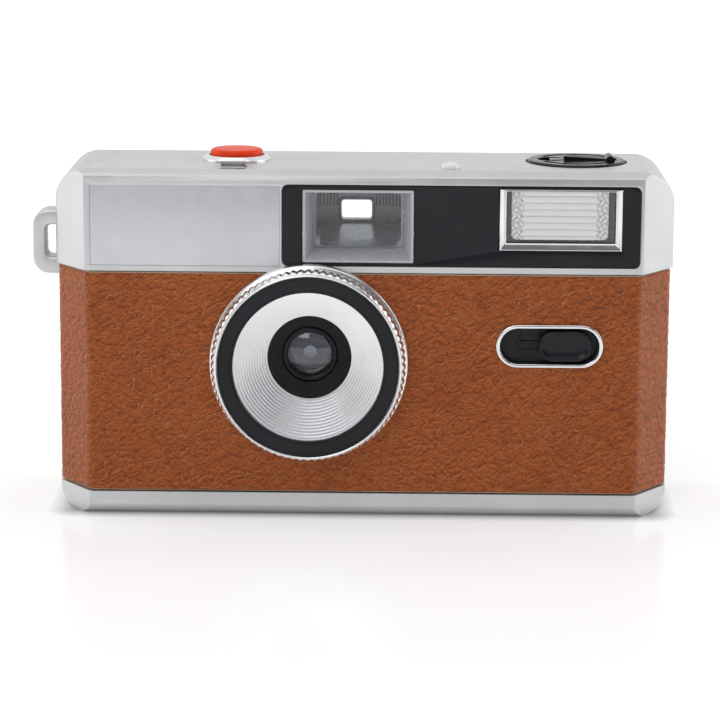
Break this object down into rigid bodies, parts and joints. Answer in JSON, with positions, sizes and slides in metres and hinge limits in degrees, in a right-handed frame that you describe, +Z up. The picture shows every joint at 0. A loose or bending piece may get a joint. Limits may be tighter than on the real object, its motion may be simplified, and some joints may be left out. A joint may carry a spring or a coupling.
{
  "type": "half frame camera",
  "caption": "Compact 35 mm half frame film camera with built-in flash, silver covers, tan leatherette and a folding rewind crank.",
  "frame": {"origin": "centre of the casing's base plane", "axes": "+X to the right seen from the front, +Y from the front to the back door, +Z up"},
  "size_m": [0.1194, 0.0382, 0.0669],
  "materials": {
    "silver_plastic": "satin",
    "leatherette": "pebbled",
    "satin_plate": "satin",
    "black_gloss": "gloss",
    "black_matte": "matte",
    "grey_plastic": "satin",
    "clear_window": "clear",
    "milky_lens": "translucent",
    "ribbed_window": "ribbed",
    "magnifier": "clear",
    "satin_chrome": "satin",
    "lens_glass": "coated",
    "chrome": "polished",
    "funnel_silver": "satin",
    "reflector": "polished",
    "orange_button": "gloss",
    "steel": "brushed",
    "brass": "satin",
    "circuit_board": "satin",
    "capacitor_sleeve": "gloss",
    "dial_white": "satin",
    "foam": "felt"
  },
  "bodies": {
    "root": {"top_cover": "silver_plastic", "bottom_cover": "silver_plastic", "front_shell": "black_matte", "leather_front": "leatherette", "name_plate": "satin_plate", "window_panel": "black_gloss", "finder_hood": "grey_plastic", "finder_front_lens": "clear_window", "eyepiece_lens": "clear_window", "eyepiece_frame": "black_matte", "flash_frame": "chrome", "flash_window": "ribbed_window", "flash_reflector": "reflector", "flash_tube": "clear_window", "flash_board": "circuit_board", "flash_capacitor": "capacitor_sleeve", "battery_trough": "black_matte", "battery_contacts": "brass", "lens_barrel": "satin_chrome", "lens_ring_plate": "black_gloss", "lens_funnel": "funnel_silver", "lens_mount": "black_matte", "front_lens": "lens_glass", "lens_retaining_ring": "black_gloss", "aperture_plate": "black_matte", "rear_lens": "lens_glass", "shutter_plate": "steel", "button_spring": "steel", "button_collar": "satin_chrome", "counter_window": "magnifier", "ready_lamp": "milky_lens", "switch_bezel": "chrome", "switch_track": "black_matte", "chassis": "black_matte", "hinge_pin": "steel", "release_spring": "steel", "base_screws": "steel", "strap_lug": "silver_plastic"},
    "button_body": {"shutter_button": "orange_button"},
    "release_lever_body": {"release_lever": "steel"},
    "shutter_blade_body": {"shutter_blade": "steel"},
    "counter_body": {"counter_dial": "dial_white"},
    "sprocket_body": {"film_sprocket": "black_matte"},
    "advance_body": {"takeup_spool": "black_matte", "advance_wheel": "black_matte"},
    "pawl_body": {"ratchet_pawl": "steel"},
    "rewind_lift_body": {"rewind_sleeve": "steel"},
    "rewind_body": {"rewind_shaft": "steel", "rewind_knob": "black_gloss"},
    "crank_body": {"crank_arm": "black_gloss"},
    "crank_handle_body": {"crank_handle": "black_gloss"},
    "switch_body": {"switch_knob": "black_gloss"},
    "door_body": {"back_door": "black_matte", "leather_back": "leatherette", "pressure_spring": "brass", "light_seals": "foam"},
    "pressure_body": {"pressure_plate": "black_matte"},
    "latch_body": {"door_latch": "silver_plastic"},
    "rewind_release_body": {"rewind_release": "steel"},
    "battery_door_body": {"battery_door": "silver_plastic"}
  },
  "joints": [
    {"name": "button_press", "type": "slide", "parent": "root", "child": "button_body", "axis": [0, 0, -1], "range_m": [0, 0.0014], "stiffness_N_per_m": 400, "springref_m": -0.0025, "deforming": ["button_spring"]},
    {"name": "release_lever_turn", "type": "hinge", "parent": "root", "child": "release_lever_body", "pos_m": [-0.0155, -0.0037, 0.0445], "axis": [0, -1, 0], "range_deg": [0, 15]},
    {"name": "shutter_open", "type": "hinge", "parent": "root", "child": "shutter_blade_body", "pos_m": [-0.019, -0.002, 0.036], "axis": [0, -1, 0], "range_deg": [0, 42], "stiffness_Nm_per_rad": 0.002, "springref_deg": -22.92},
    {"name": "film_advance", "type": "hinge", "parent": "root", "child": "advance_body", "pos_m": [-0.0415, 0.0042, 0.05], "axis": [0, 0, 1], "continuous": true},
    {"name": "sprocket_turn", "type": "hinge", "parent": "root", "child": "sprocket_body", "pos_m": [-0.027, 0.005, 0.03], "axis": [0, 0, 1], "continuous": true},
    {"name": "counter_turn", "type": "hinge", "parent": "root", "child": "counter_body", "pos_m": [-0.0285, -0.008, 0.062], "axis": [0, 0, 1], "continuous": true},
    {"name": "pawl_click", "type": "hinge", "parent": "root", "child": "pawl_body", "pos_m": [-0.0475, -0.0036, 0.0504], "axis": [0, 0, -1], "range_deg": [0, 10], "stiffness_Nm_per_rad": 0.001, "springref_deg": -11.46},
    {"name": "rewind_lift", "type": "slide", "parent": "root", "child": "rewind_lift_body", "axis": [0, 0, 1], "range_m": [0, 0.007]},
    {"name": "rewind_turn", "type": "hinge", "parent": "rewind_lift_body", "child": "rewind_body", "pos_m": [0.0395, 0.0016, 0.06], "axis": [0, 0, 1], "continuous": true},
    {"name": "crank_fold", "type": "hinge", "parent": "rewind_body", "child": "crank_body", "pos_m": [0.0457, 0.0016, 0.0651], "axis": [0, 1, 0], "range_deg": [0, 180]},
    {"name": "crank_handle_turn", "type": "hinge", "parent": "crank_body", "child": "crank_handle_body", "pos_m": [0.0349, 0.0016, 0.0632], "axis": [0, 0, 1], "continuous": true},
    {"name": "switch_slide", "type": "slide", "parent": "root", "child": "switch_body", "axis": [-1, 0, 0], "range_m": [0, 0.0066]},
    {"name": "door_open", "type": "hinge", "parent": "root", "child": "door_body", "pos_m": [-0.0556, 0.01, 0.026], "axis": [0, 0, 1], "range_deg": [0, 110]},
    {"name": "pressure_give", "type": "slide", "parent": "door_body", "child": "pressure_body", "axis": [0, 1, 0], "range_m": [0, 0.0008], "stiffness_N_per_m": 300, "springref_m": -0.0015},
    {"name": "latch_slide", "type": "slide", "parent": "root", "child": "latch_body", "axis": [0, 0, -1], "range_m": [0, 0.003], "stiffness_N_per_m": 200, "springref_m": -0.003},
    {"name": "rewind_release_press", "type": "slide", "parent": "root", "child": "rewind_release_body", "axis": [0, 0, 1], "range_m": [0, 0.0015], "stiffness_N_per_m": 300, "springref_m": -0.002, "deforming": ["release_spring"]},
    {"name": "battery_door_open", "type": "hinge", "parent": "root", "child": "battery_door_body", "pos_m": [-0.0016, -0.002, 0.0018], "axis": [1, 0, 0], "range_deg": [0, 100]}
  ],
  "couplings": [
    {"joint": "release_lever_turn", "follows": "button_press", "rad_per_m": 178},
    {"joint": "sprocket_turn", "follows": "film_advance", "ratio": 1.16},
    {"joint": "counter_turn", "follows": "film_advance", "ratio": -0.029}
  ]
}
